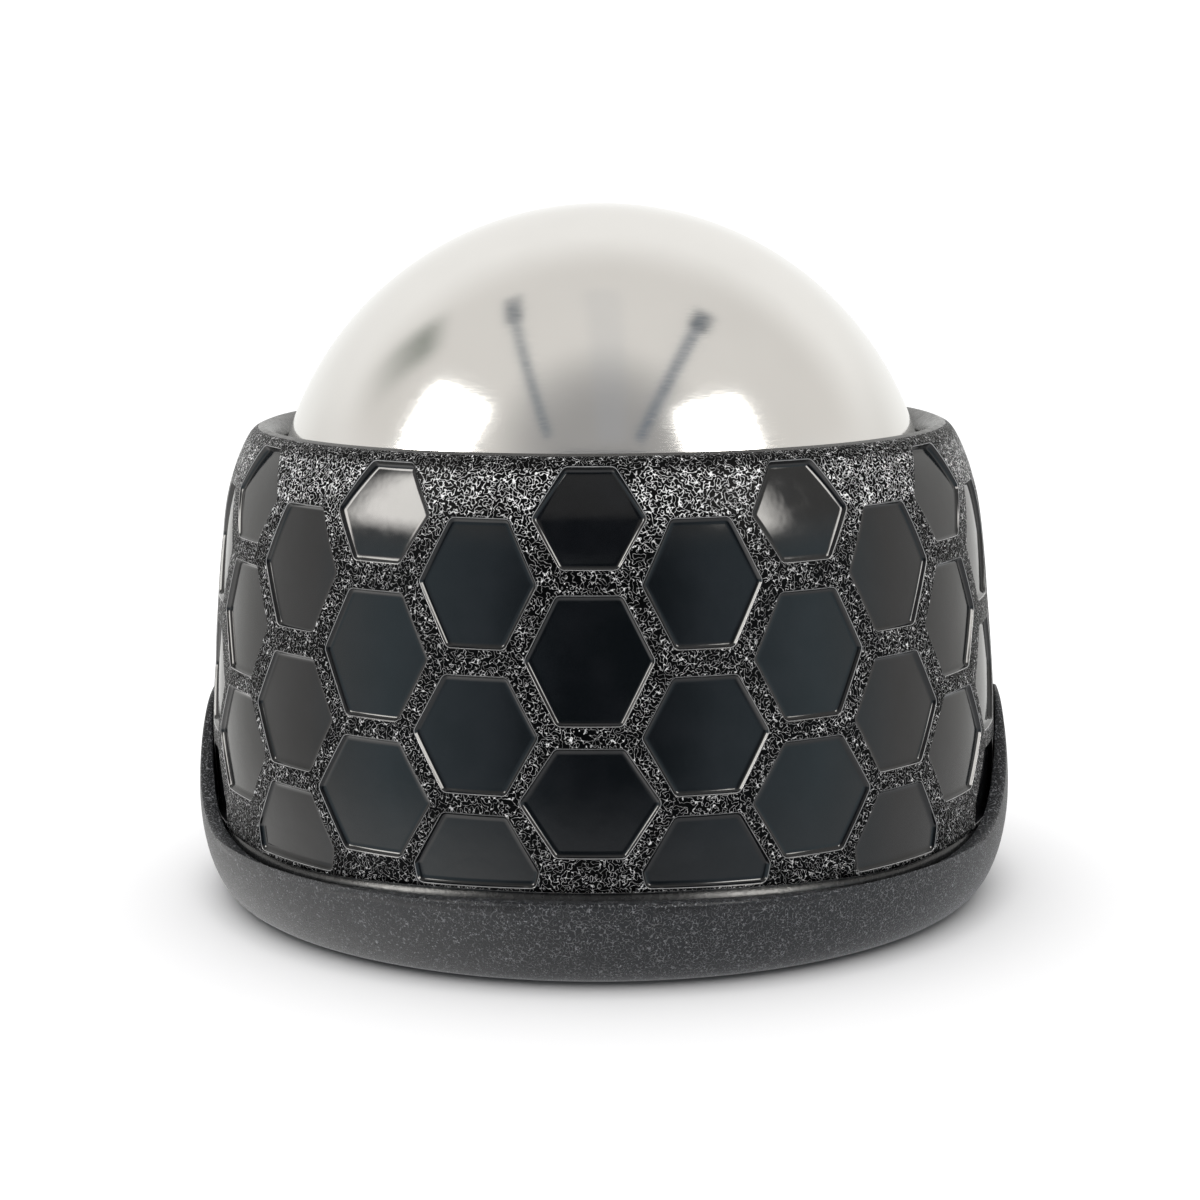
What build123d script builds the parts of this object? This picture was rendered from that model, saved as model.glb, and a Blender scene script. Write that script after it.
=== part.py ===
"""Cold massage roller ball: a gel-filled stainless ball held captive in a moulded hand grip.

A polished hollow steel ball turns in every direction inside a two-part plastic housing. The collar
is the upper part: its mouth is narrower than the ball, so it keeps the ball in, and its outside
carries three staggered courses of sunken hexagons for grip. The base cup is the lower part, with a
raised lobe on each side. Inside, a slippery ring guides the ball under the mouth and a cradle
carries it on six small steel balls. Three screws from below, hidden by the non-slip pad, clamp
collar, cradle and cup together.

Millimetres. +Z is up, the front is -Y, and z = 0 is the underside of the non-slip pad.
"""
import os
from bisect import bisect_left
from math import asin, cos, hypot, radians, sin

from build123d import *

os.makedirs("parts", exist_ok=True)

# ---- driving dimensions -------------------------------------------------------------------
BALL_R = 31.5          # polished ball, 63 mm across
SHELL_T = 1.2          # drawn stainless wall
PAD_PROUD = 0.2        # the pad stands this far below the cup
CUP_BOTTOM = -33.2     # cup underside, measured from the ball's centre
BALL_Z = -CUP_BOTTOM + PAD_PROUD

MOUTH_R = 30.55        # narrowest radius of the collar's mouth
RIM_Z = 11.12          # top of the rim above the ball's centre
POCKET_DEPTH = 0.5
COLUMNS = 24           # hexagon columns round the collar
BAND_R = 37.45         # smooth band along the collar's lower edge
TONGUE_R = 36.9        # collar's tongue, which drops inside the cup
TONGUE_END = -28.6

CUP_R = 39.2           # widest radius of the cup
CUP_WIDEST = -23.9
FLAT_R = 35.5          # radius where the cup's round corner meets its flat underside
FLOOR_TOP = -31.95
PAD_RECESS_R = 33.7
PAD_RECESS = 0.5
LOBE_TOP = -14.9

SUPPORT_R = 2.5        # small bearing balls
SUPPORT_COUNT = 6
SUPPORT_DIP = 52.0     # their angle below the ball's equator
SUPPORT_GAP = 0.08

SCREW_RING = 30.8      # radius of the screw circle
SCREW_ANGLES = (30, 150, 270)
CLAMP_LOW, CLAMP_HIGH = -29.4, -28.2   # the cradle's flange is clamped between these heights

centre = Plane(origin=(0, 0, BALL_Z), x_dir=(1, 0, 0), z_dir=(0, -1, 0))   # radius across, height up


def at(angle, radius, height=0.0):
    """Level plane on the screw circle: angle from +X, radius out, height from the ball's centre."""
    a = radians(angle)
    return Plane(origin=(radius * cos(a), radius * sin(a), BALL_Z + height))


def facing(angle):
    """Upright plane on the vertical axis that looks out towards angle, counted from the front."""
    a = radians(angle)
    return Plane(origin=(0, 0, BALL_Z), x_dir=(cos(a), sin(a), 0), z_dir=(sin(a), -cos(a), 0))


def towards_support(index, distance):
    """Plane on a small ball's line of contact, distance out from the ball's centre."""
    a, d = radians(360 / SUPPORT_COUNT * index), radians(SUPPORT_DIP)
    n = Vector(cos(d) * cos(a), cos(d) * sin(a), -sin(d))
    return Plane(origin=Vector(0, 0, BALL_Z) + n * distance, z_dir=n)


# ---- collar outside ------------------------------------------------------------------------
# barrel side that narrows upwards and rolls over the shoulder: radius, height
SLEEVE = [(37.60, -26.0), (37.72, -17.5), (37.45, -12.0), (36.95, -6.0), (36.20, 1.5),
          (35.40, 5.7), (34.40, 8.5), (33.70, 9.9)]


def inset(points, depth):
    """The same profile moved inwards by depth along its normal."""
    out = []
    for i, (r, z) in enumerate(points):
        (r0, z0), (r1, z1) = points[max(i - 1, 0)], points[min(i + 1, len(points) - 1)]
        step = hypot(r1 - r0, z1 - z0)
        out.append((r - depth * (z1 - z0) / step, z + depth * (r1 - r0) / step))
    return out


# hexagon courses: top, bottom, half width at the corners, half width of the flat top and bottom
EVEN_COURSES = [(10.25, 1.95, 4.80, 2.10, 2.40), (-0.10, -10.90, 5.45, 2.75, 2.75),
                (-12.70, -22.00, 6.00, 2.90, 2.95)]
ODD_COURSES = [(6.05, -4.70, 5.20, 2.55, 2.55), (-6.90, -16.85, 5.55, 2.80, 2.80),
               (-18.50, -27.80, 5.60, 2.85, 2.85)]
BAND_RIB = 0.25        # what is left of the grip between the lowest hexagons and the band

# lower edge of the grip, which dips between front and side: distance across, height
SLEEVE_EDGE = [(40, -24.9), (36.5, -24.92), (34, -25.2), (30, -25.6), (26, -25.8), (21, -25.6),
               (14, -25.4), (0, -25.4)]


def edge_height(angle):
    """Height of the grip's lower edge at an angle in radians from the front."""
    across = abs(SLEEVE[0][0] * cos(angle))
    inward = SLEEVE_EDGE[::-1]
    i = min(max(bisect_left([d for d, _ in inward], across), 1), len(inward) - 1)
    (d0, z0), (d1, z1) = inward[i - 1], inward[i]
    return z0 + (z1 - z0) * (across - d0) / (d1 - d0)


def courses(column):
    """Hexagons of one column; towards the lobes the even courses ride up a little."""
    if column % 2:
        return ODD_COURSES
    off_front = min(column % 12, -column % 12)
    shift = {0: (0, 0, 0, 0), 2: (-0.30, -0.35, -0.20, -0.95)}.get(off_front, (0.10, 0.90, 1.10, 0.70))
    first, second, third = EVEN_COURSES
    return [first, (second[0] + shift[0], second[1] + shift[1], *second[2:]),
            (third[0] + shift[2], third[1] + shift[3], *third[2:])]


with BuildPart() as prisms:
    for column in range(COLUMNS):
        face_plane = facing(360 / COLUMNS * column)
        for top, low, half, flat_top, flat_low in courses(column):
            waist = (top + low) / 2
            with BuildSketch(face_plane.offset(32.0)):
                with BuildLine():
                    if low < -25:        # the lowest course is cut off by the band
                        foot = half - 0.35
                        a, lean = radians(360 / COLUMNS * column), asin(foot / SLEEVE[0][0])
                        Polyline((flat_top, top), (half, waist), (foot, edge_height(a + lean) + BAND_RIB),
                                 (-foot, edge_height(a - lean) + BAND_RIB), (-half, waist),
                                 (-flat_top, top), close=True)
                    else:
                        Polyline((flat_top, top), (half, waist), (flat_low, low), (-flat_low, low),
                                 (-half, waist), (-flat_top, top), close=True)
                make_face()
            extrude(amount=10)

with BuildPart() as pockets:
    floor_line = inset(SLEEVE, POCKET_DEPTH)
    with BuildSketch(centre):
        with BuildLine():
            Spline(*floor_line)
            Polyline(floor_line[-1], (floor_line[-1][0], 14), (44, 14), (44, -30),
                     (floor_line[0][0], -30), floor_line[0])
        make_face()
    revolve(axis=Axis.Z)
    add(prisms.part, mode=Mode.INTERSECT)

with BuildPart() as edge_trim:                        # leaves the band a little below the grip
    with BuildSketch(centre):
        with BuildLine():
            Polyline((BAND_R, -26.4), (40, -26.4), (40, -24.0), (BAND_R, -24.0), close=True)
        make_face()
    revolve(axis=Axis.Z)
    with BuildSketch(Plane.YZ.offset(-45)):
        with BuildLine():
            edge = [(-y, BALL_Z + z) for y, z in SLEEVE_EDGE[:-1]]
            edge += [(y, BALL_Z + z) for y, z in reversed(SLEEVE_EDGE)]
            Spline(*edge)
            Polyline(edge[-1], (40, BALL_Z - 30), (-40, BALL_Z - 30), edge[0])
        make_face()
    extrude(amount=90, mode=Mode.INTERSECT)

with BuildPart() as collar:
    with BuildSketch(centre):
        with BuildLine():
            Spline(*SLEEVE, tangents=[(0.02, 1), (-0.435, 0.9)])
            top_of_rim = (32.15, RIM_Z)
            ThreePointArc(SLEEVE[-1], (33.05, 10.72), top_of_rim)
            Spline(top_of_rim, (31.1, 10.5), (MOUTH_R, 9.5), tangents=[(-1, 0), (-0.35, -1)])
            Polyline((MOUTH_R, 9.5), (31.38, 6.2), (33.3, 6.2), (33.3, -1.15), (33.1, -1.35),
                     (33.1, -1.75), (34.0, -2.6), (34.9, -12.0), (35.3, -18.0), (35.5, TONGUE_END),
                     (TONGUE_R, TONGUE_END), (TONGUE_R, -27.45), (BAND_R, -26.9),
                     (BAND_R, -26.0), SLEEVE[0])
        make_face()
    revolve(axis=Axis.Z)
    add(edge_trim.part, mode=Mode.SUBTRACT)
    add(pockets.part, mode=Mode.SUBTRACT)
    # screw posts, each tied to the wall by a web
    for angle in SCREW_ANGLES:
        with BuildSketch(at(angle, SCREW_RING, CLAMP_HIGH)):
            Circle(2.8)
        extrude(amount=CLAMP_HIGH * -1 - 18.0)
        with BuildSketch(Plane(origin=at(angle, 33.9, CLAMP_HIGH).origin, x_dir=at(angle, 1).origin
                               - Vector(0, 0, BALL_Z), z_dir=(0, 0, 1))):
            Rectangle(3.6, 2.2)
        extrude(amount=CLAMP_HIGH * -1 - 18.0)
        with BuildSketch(at(angle, SCREW_RING, CLAMP_HIGH)):
            Circle(1.27)
        extrude(amount=8.2, mode=Mode.SUBTRACT)
collar.part.label = "collar"

# ---- base cup ------------------------------------------------------------------------------
# upper edge of the cup, level in front and rising to a lobe on each side: distance across, height
LIP_EDGE = [(40, -25.4), (36.5, -25.7), (34, -25.95), (31.5, -26.2), (29, -26.4), (26, -26.5),
            (23, -26.42), (19.5, -26.05), (16, -25.4), (13, -24.4), (10.5, -22.9), (8, -20.7),
            (5.5, -18.0), (3, -15.8), (0, LOBE_TOP)]

with BuildPart() as base_cup:
    with BuildSketch(centre):
        with BuildLine():
            rise = CUP_WIDEST - CUP_BOTTOM
            EllipticalCenterArc((FLAT_R, CUP_WIDEST), CUP_R - FLAT_R, rise, start_angle=270, arc_size=90)
            ThreePointArc((CUP_R, CUP_WIDEST), (38.93, -19.5), (38.2, LOBE_TOP))
            Polyline((38.2, LOBE_TOP), (37.86, LOBE_TOP), (37.86, -27.1), (37.05, -27.7),
                     (37.05, -28.9), (36.75, -29.8), (36.1, -30.9), (34.6, FLOOR_TOP),
                     (0, FLOOR_TOP), (0, CUP_BOTTOM), (FLAT_R, CUP_BOTTOM))
        make_face()
    revolve(axis=Axis.Z)
    with BuildSketch(Plane.YZ.offset(-45)):          # everything above the lip's edge goes
        with BuildLine():
            lip = [(-y, BALL_Z + z) for y, z in LIP_EDGE[:-1]]
            lip += [(y, BALL_Z + z) for y, z in reversed(LIP_EDGE)]
            Spline(*lip)
            Polyline(lip[-1], (40, BALL_Z - 5), (-40, BALL_Z - 5), lip[0])
        make_face()
    extrude(amount=90, mode=Mode.SUBTRACT)
    with BuildSketch(Plane.XY.offset(BALL_Z + CUP_BOTTOM)):
        Circle(PAD_RECESS_R)
    extrude(amount=PAD_RECESS, mode=Mode.SUBTRACT)
    # screw towers with counterbores for the heads
    for angle in SCREW_ANGLES:
        with BuildSketch(at(angle, SCREW_RING, FLOOR_TOP - 0.4)):
            Circle(3.5)
        extrude(amount=CLAMP_LOW - FLOOR_TOP + 0.4)
        with BuildSketch(at(angle, SCREW_RING, CUP_BOTTOM)):
            Circle(2.45)
        extrude(amount=2.7, mode=Mode.SUBTRACT)
        with BuildSketch(at(angle, SCREW_RING, CUP_BOTTOM)):
            Circle(1.45)
        extrude(amount=6, mode=Mode.SUBTRACT)
base_cup.part.label = "base_cup"

# ---- bearings ------------------------------------------------------------------------------
with BuildPart() as glide_ring:                       # slippery ring under the mouth
    with BuildSketch(centre):
        with BuildLine():
            r_in, low, high = BALL_R + 0.3, -1.05, 6.15
            inner_low = ((r_in ** 2 - low ** 2) ** 0.5, low)
            inner_high = ((r_in ** 2 - high ** 2) ** 0.5, high)
            middle = ((r_in ** 2 - 2.5 ** 2) ** 0.5, 2.5)
            ThreePointArc(inner_low, middle, inner_high)
            Polyline(inner_high, (32.95, high), (33.25, high - 0.3), (33.25, low + 0.25),
                     (33.0, low), inner_low)
        make_face()
    revolve(axis=Axis.Z)
glide_ring.part.label = "glide_ring"

with BuildPart() as bearing_cradle:                   # carries the six small balls
    with BuildSketch(centre):
        with BuildLine():
            r_in = BALL_R + 0.8
            inner_r, outer_r, crest = 16.5, 26.9, -21.5
            bowl_low = (inner_r, -(r_in ** 2 - inner_r ** 2) ** 0.5)
            bowl_high = ((r_in ** 2 - crest ** 2) ** 0.5, crest)
            mid_r = (inner_r + bowl_high[0]) / 2
            ThreePointArc(bowl_low, (mid_r, -(r_in ** 2 - mid_r ** 2) ** 0.5), bowl_high)
            Polyline(bowl_high, (outer_r, crest), (outer_r, CLAMP_HIGH), (34.6, CLAMP_HIGH),
                     (34.6, CLAMP_LOW), (outer_r, CLAMP_LOW), (outer_r, FLOOR_TOP),
                     (inner_r, FLOOR_TOP), bowl_low)
        make_face()
    revolve(axis=Axis.Z)
    for angle in SCREW_ANGLES:
        with BuildSketch(at(angle, SCREW_RING, CLAMP_LOW - 1)):
            Circle(1.5)
        extrude(amount=4, mode=Mode.SUBTRACT)
        with BuildSketch(at(angle + 60, 34.0, CLAMP_LOW - 1)):   # lightening bays between the screws
            Circle(5.5)
        extrude(amount=4, mode=Mode.SUBTRACT)
    for i in range(SUPPORT_COUNT):
        with BuildSketch(towards_support(i, BALL_R - 2)):
            Circle(SUPPORT_R + 0.2)
        extrude(amount=2 + SUPPORT_GAP + 2 * SUPPORT_R + 0.15, mode=Mode.SUBTRACT)
bearing_cradle.part.label = "bearing_cradle"

support_balls = []
for i in range(SUPPORT_COUNT):
    with BuildPart(towards_support(i, BALL_R + SUPPORT_GAP + SUPPORT_R)) as support_ball:
        Sphere(SUPPORT_R)
    support_ball.part.label = f"support_ball_{i + 1}"
    support_balls.append(support_ball.part)

# ---- ball ----------------------------------------------------------------------------------
PLUG_R, PLUG_LIP_R, PLUG_LIP = 3.0, 3.8, 0.6          # stepped filling hole at the foot of the ball

with BuildPart(Plane.XY.offset(BALL_Z)) as ball_shell:
    Sphere(BALL_R)
    Sphere(BALL_R - SHELL_T, mode=Mode.SUBTRACT)
    with BuildSketch(Plane.XY.offset(BALL_Z - BALL_R - 1)):
        Circle(PLUG_R)
    extrude(amount=4, mode=Mode.SUBTRACT)
    with BuildSketch(Plane.XY.offset(BALL_Z - BALL_R - 1)):
        Circle(PLUG_LIP_R)
    extrude(amount=1 + PLUG_LIP + 0.23, mode=Mode.SUBTRACT)
ball_shell.part.label = "ball_shell"

with BuildPart(Plane.XY.offset(BALL_Z)) as fill_plug:
    with BuildSketch(Plane.XY.offset(BALL_Z - BALL_R - 1)):
        Circle(PLUG_LIP_R - 0.03)
    extrude(amount=1 + PLUG_LIP + 0.2)
    with BuildSketch(Plane.XY.offset(BALL_Z - BALL_R)):
        Circle(PLUG_R - 0.03)
    extrude(amount=SHELL_T + 0.02)
    Sphere(BALL_R, mode=Mode.INTERSECT)
fill_plug.part.label = "fill_plug"

with BuildPart(Plane.XY.offset(BALL_Z)) as gel_core:
    Sphere(BALL_R - SHELL_T - 0.2)
gel_core.part.label = "gel_core"

# ---- screws and pad ------------------------------------------------------------------------
with BuildPart() as housing_screws:
    head_low = CUP_BOTTOM + 2.7 - 1.4                 # the head bears on the counterbore's end
    for angle in SCREW_ANGLES:
        with BuildSketch(at(angle, SCREW_RING, head_low)):
            Circle(2.2)
        extrude(amount=1.4)
        with BuildSketch(at(angle, SCREW_RING, head_low + 1.0)):
            Circle(1.25)
        extrude(amount=10.0)
        with BuildSketch(at(angle, SCREW_RING, head_low)):       # cross recess
            Rectangle(2.4, 0.6)
            Rectangle(0.6, 2.4)
        extrude(amount=0.8, mode=Mode.SUBTRACT)
housing_screws.part.label = "housing_screws"

ADHESIVE_T = 0.1
with BuildPart() as pad_adhesive:
    with BuildSketch(Plane.XY.offset(BALL_Z + CUP_BOTTOM + PAD_RECESS - ADHESIVE_T)):
        Circle(33.2)
        for angle in SCREW_ANGLES:
            a = radians(angle)
            with Locations((SCREW_RING * cos(a), SCREW_RING * sin(a))):
                Circle(2.2, mode=Mode.SUBTRACT)
    extrude(amount=ADHESIVE_T)
pad_adhesive.part.label = "pad_adhesive"

with BuildPart() as non_slip_pad:
    with BuildSketch(Plane.XY):
        Circle(33.4)
    extrude(amount=PAD_PROUD + PAD_RECESS - ADHESIVE_T)
    for ring_r in (12, 19, 26):                       # shallow grip grooves
        with BuildSketch(Plane.XY):
            Circle(ring_r + 0.5)
            Circle(ring_r - 0.5, mode=Mode.SUBTRACT)
        extrude(amount=0.3, mode=Mode.SUBTRACT)
non_slip_pad.part.label = "non_slip_pad"

for piece in [collar.part, base_cup.part, glide_ring.part, bearing_cradle.part, ball_shell.part,
              fill_plug.part, gel_core.part, housing_screws.part, pad_adhesive.part,
              non_slip_pad.part] + support_balls:
    export_step(piece, f"parts/{piece.label}.step")
    box = piece.bounding_box()
    print(f"{piece.label:16s} {piece.volume:10.1f} mm3  z {box.min.Z:6.2f} to {box.max.Z:6.2f}  solids {len(piece.solids())}")
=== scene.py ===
"""Looks of the cold massage roller ball: a mirror-polished steel ball in a black moulded hand grip.

Shapes are worked out in millimetres, with heights counted from the ball's centre. Angles round the
housing are counted from the front, towards +X.
"""

import math

import bmesh
import bpy
import numpy as np
from mathutils import Matrix, Vector
from mathutils.geometry import delaunay_2d_cdt


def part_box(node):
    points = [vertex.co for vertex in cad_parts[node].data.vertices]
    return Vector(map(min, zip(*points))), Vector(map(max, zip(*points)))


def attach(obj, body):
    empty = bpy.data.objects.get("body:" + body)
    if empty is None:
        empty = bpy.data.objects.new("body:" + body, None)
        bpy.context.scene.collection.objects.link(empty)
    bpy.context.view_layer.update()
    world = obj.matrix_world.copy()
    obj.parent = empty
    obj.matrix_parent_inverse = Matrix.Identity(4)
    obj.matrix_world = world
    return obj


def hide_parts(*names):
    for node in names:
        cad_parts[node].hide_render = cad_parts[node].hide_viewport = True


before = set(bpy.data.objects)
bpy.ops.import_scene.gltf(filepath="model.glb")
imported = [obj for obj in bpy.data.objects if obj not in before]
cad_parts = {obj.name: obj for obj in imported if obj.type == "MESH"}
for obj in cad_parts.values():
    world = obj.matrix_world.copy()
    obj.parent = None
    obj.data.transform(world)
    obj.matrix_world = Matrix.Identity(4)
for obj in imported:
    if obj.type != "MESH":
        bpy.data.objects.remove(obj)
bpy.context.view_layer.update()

MM = 0.001
TAU = 2 * math.pi
BALL_R = 31.5
BALL_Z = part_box("ball_shell")[1][2] / MM - BALL_R      # ball centre above the ground
CUP_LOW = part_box("base_cup")[0][2] / MM - BALL_Z       # cup underside, from the ball's centre
RIM_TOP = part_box("collar")[1][2] / MM - BALL_Z


# ---- curves and meshes -----------------------------------------------------------------------
WELD, SLIVER = 2e-6, 1e-7                # metres: nearer points are welded, shorter edges dissolved


def spline(points, per_span=24):
    """Natural cubic spline through points, as a dense array."""
    p = np.array(points, float)
    t = np.r_[0, np.cumsum(np.hypot(*np.diff(p, axis=0).T))]
    n, h = len(t), np.diff(t)
    a, b = np.zeros((n, n)), np.zeros((n, 2))
    a[0, 0] = a[-1, -1] = 1
    for i in range(1, n - 1):
        a[i, i - 1:i + 2] = h[i - 1], 2 * (h[i - 1] + h[i]), h[i]
        b[i] = 6 * ((p[i + 1] - p[i]) / h[i] - (p[i] - p[i - 1]) / h[i - 1])
    m = np.linalg.solve(a, b)
    out = []
    for i in range(n - 1):
        for k in range(per_span):
            s = h[i] * k / per_span
            u, w = h[i] - s, s
            out.append((m[i] * u ** 3 + m[i + 1] * w ** 3) / (6 * h[i])
                       + (p[i] / h[i] - m[i] * h[i] / 6) * u + (p[i + 1] / h[i] - m[i + 1] * h[i] / 6) * w)
    return np.array(out + [p[-1]])


def on_cylinder(angle, radius, height):
    """Point of the part's frame, in metres."""
    return (radius * math.sin(angle) * MM, -radius * math.cos(angle) * MM, (height + BALL_Z) * MM)


class Builder:
    """Collects vertices, faces and material indices."""

    def __init__(self):
        self.verts, self.faces, self.indices = [], [], []

    def add(self, points):
        start = len(self.verts)
        self.verts.extend(points)
        return list(range(start, len(self.verts)))

    def face(self, corners, index=0):
        self.faces.append(corners)
        self.indices.append(index)

    def bridge(self, low, high, index=0):
        """Faces between two closed rows."""
        n = len(low)
        for i in range(n):
            j = (i + 1) % n
            self.face((low[i], low[j], high[j], high[i]), index)

    def rows(self, rows, index=0):
        for low, high in zip(rows, rows[1:]):
            self.bridge(low, high, index)

    def fan(self, ring, centre, index=0):
        for i in range(len(ring)):
            self.face((ring[i], ring[(i + 1) % len(ring)], centre), index)

    def to_object(self, name, materials):
        """Smooth object with its doubles welded and its normals outwards."""
        mesh = bpy.data.meshes.new(name)
        mesh.from_pydata(self.verts, [], self.faces)
        for material in materials:
            mesh.materials.append(material)
        mesh.polygons.foreach_set("material_index", self.indices)
        bm = bmesh.new()
        bm.from_mesh(mesh)
        bmesh.ops.remove_doubles(bm, verts=bm.verts, dist=WELD)
        bmesh.ops.dissolve_degenerate(bm, edges=bm.edges, dist=SLIVER)
        bmesh.ops.recalc_face_normals(bm, faces=bm.faces)
        bm.to_mesh(mesh)
        bm.free()
        mesh.shade_smooth()
        obj = bpy.data.objects.new(name, mesh)
        bpy.context.scene.collection.objects.link(obj)
        return obj



# ---- nodes -----------------------------------------------------------------------------------
class Nodes:
    """Short names for the nodes that the materials and the surroundings share."""

    def __init__(self, tree):
        self.tree = tree
        tree.nodes.clear()

    def node(self, kind, **settings):
        node = self.tree.nodes.new("ShaderNode" + kind)
        for key, value in settings.items():
            setattr(node, key, value)
        return node

    def feed(self, socket, value):
        """Gives an input a node's output, a colour as a tuple, or a number or vector."""
        if isinstance(value, bpy.types.NodeSocket):
            self.tree.links.new(value, socket)
        elif isinstance(value, tuple):
            socket.default_value = (*value, 1.0)
        else:
            socket.default_value = value

    def math(self, operation, *values):
        node = self.node("Math", operation=operation)
        for socket, value in zip(node.inputs, values):
            self.feed(socket, value)
        return node.outputs[0]

    def span(self, value, low, high, to_low=0.0, to_high=1.0):
        """Smooth step from to_low, where the value is low, to to_high, where it is high."""
        node = self.node("MapRange", interpolation_type="SMOOTHSTEP")
        names = "Value", "From Min", "From Max", "To Min", "To Max"
        for name, number in zip(names, (value, low, high, to_low, to_high)):
            self.feed(node.inputs[name], number)
        return node.outputs[0]

    def mix(self, factor, a, b, blend_type="MIX"):
        node = self.node("Mix", data_type="RGBA", blend_type=blend_type)
        self.feed(node.inputs["Factor"], factor)
        for name, value in (("A", a), ("B", b)):
            self.feed(next(s for s in node.inputs if s.name == name and s.type == "RGBA"), value)
        return next(s for s in node.outputs if s.type == "RGBA")


# ---- materials -------------------------------------------------------------------------------
class Shader(Nodes):
    """One material around a Principled shader."""

    def __init__(self, name, **sockets):
        self.material = bpy.data.materials.new(name)
        self.material.use_nodes = True
        super().__init__(self.material.node_tree)
        self.bsdf = self.node("BsdfPrincipled")
        self.feed(self.node("OutputMaterial").inputs["Surface"], self.bsdf.outputs[0])
        self.coords = self.node("TexCoord").outputs["Object"]
        for socket, value in sockets.items():
            self.bsdf.inputs[socket.replace("_", " ")].default_value = value

    def noise(self, scale, detail=2.0, distortion=0.0, vector=None):
        node = self.node("TexNoise")
        for name, value in (("Scale", scale), ("Detail", detail), ("Distortion", distortion)):
            node.inputs[name].default_value = value
        self.feed(node.inputs["Vector"], vector or self.coords)
        return node.outputs[0]

    def stretched(self, scale):
        node = self.node("Mapping")
        node.inputs["Scale"].default_value = scale
        self.feed(node.inputs["Vector"], self.coords)
        return node.outputs[0]

    def height(self):
        node = self.node("SeparateXYZ")
        self.feed(node.inputs[0], self.coords)
        return node.outputs["Z"]

    def cloud(self, scale, detail=3.0):
        """Soft patches, as a mask."""
        return self.span(self.noise(scale, detail), 0.35, 0.7)

    def finish(self, colour, roughness, bump, depth):
        """Colour, roughness if it varies, and a bump of a depth in metres."""
        self.feed(self.bsdf.inputs["Base Color"], colour)
        if roughness is not None:
            self.feed(self.bsdf.inputs["Roughness"], roughness)
        node = self.node("Bump")
        node.inputs["Distance"].default_value = depth
        node.inputs["Strength"].default_value = 1.0
        self.feed(node.inputs["Height"], bump)
        self.feed(self.bsdf.inputs["Normal"], node.outputs[0])
        return self.material


RIDGE_TOP, RIDGE_FALL = 0.80, 4.8        # the grain's field on a ridge, and how steeply it falls beside it
RIDGE_SHARP = 2.4                        # a power that thins the ridges
SHOULDER_HIGHLIGHT = 0.0360, 0.0415                # heights above the ground between which the grain is painted brighter, a painted highlight on the shoulder
SHOULDER_HIGHLIGHT_END = 0.0428, 0.0438            # and between which that painted highlight fades again, under the rim


def grained_plastic(name, dark, glint_colour, scale, low, high, depth, rough, gloss, painted_sparkle=0.0, shoulder_highlight=0.0):
    """Black plastic with a moulded worm-like grain: short ridges that wander over a dark ground, painted
    brighter as a painted highlight standing in for their glints.

    low and high are the field's values at a ridge's foot and at its top. shoulder_highlight paints the
    ridges brighter on the shoulder, a painted highlight where the top lighting falls, and painted_sparkle
    adds single bright points, painted glints.
    """
    s = Shader(name, Specular_IOR_Level=gloss)
    wander = s.math("SUBTRACT", s.noise(scale * 0.55, detail=0.0, distortion=0.35), 0.5)
    beside = s.math("MULTIPLY", s.math("ABSOLUTE", wander), RIDGE_FALL)
    field = s.math("SUBTRACT", RIDGE_TOP, beside)
    # painted highlight: the grain brighter on the shoulder, where the top lighting falls
    if shoulder_highlight:
        field = s.math("ADD", field, s.span(s.height(), *SHOULDER_HIGHLIGHT, 0.0, shoulder_highlight))
        field = s.math("SUBTRACT", field, s.span(s.height(), *SHOULDER_HIGHLIGHT_END, 0.0, shoulder_highlight * 1.2))
    ridge = s.math("POWER", s.span(field, low, high), RIDGE_SHARP)
    uneven = s.span(s.noise(scale * 0.11), 0.32, 0.68, 0.55, 1.1)
    # painted highlight: how much of glint_colour each point on the ridges gets
    painted_glint = s.math("MULTIPLY", ridge, uneven)
    if painted_sparkle:
        # painted glints: single bright points
        painted_glint = s.math("ADD", painted_glint, s.span(s.noise(scale * 1.2, detail=0.0), 0.72, 0.80, 0.0, painted_sparkle))
    return s.finish(s.mix(painted_glint, dark, glint_colour), s.span(ridge, 0.0, 1.0, rough + 0.14, rough), ridge, depth)


def gloss_floor(name):
    """Polished black plastic of the sunken hexagons, with faint flow marks."""
    s = Shader(name, IOR=1.5)
    return s.finish(s.mix(s.cloud(260.0), (0.0035, 0.004, 0.0045), (0.0065, 0.007, 0.008)),
                    s.span(s.noise(700.0, detail=4.0), 0.3, 0.75, 0.05, 0.13), s.noise(520.0), 0.000012)


def smooth_plastic(name, colour, rough):
    """Plain moulded plastic with a fine satin texture."""
    s = Shader(name, IOR=1.5)
    lighter = tuple(min(1.0, c * 1.5 + 0.002) for c in colour)
    return s.finish(s.mix(s.cloud(420.0), colour, lighter),
                    s.span(s.noise(1500.0, detail=3.0), 0.3, 0.7, rough - 0.04, rough + 0.06),
                    s.noise(5200.0), 0.000015)


def steel(name, colour, rough, scratch=0.000002):
    """Steel with polishing lines that only just show."""
    s = Shader(name, Metallic=1.0)
    lines = s.noise(900.0, detail=4.0, vector=s.stretched((1.0, 1.0, 9.0)))
    darker = tuple(c * 0.965 for c in colour)
    return s.finish(s.mix(s.cloud(70.0), colour, darker),
                    s.span(lines, 0.3, 0.7, rough * 0.8, rough * 1.25), lines, scratch)


def gel(name):
    """Clear blue gel."""
    s = Shader(name, Roughness=0.25, IOR=1.36)
    return s.finish(s.mix(s.cloud(160.0), (0.10, 0.30, 0.50), (0.22, 0.46, 0.66)), None,
                    s.noise(400.0), 0.00005)


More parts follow.
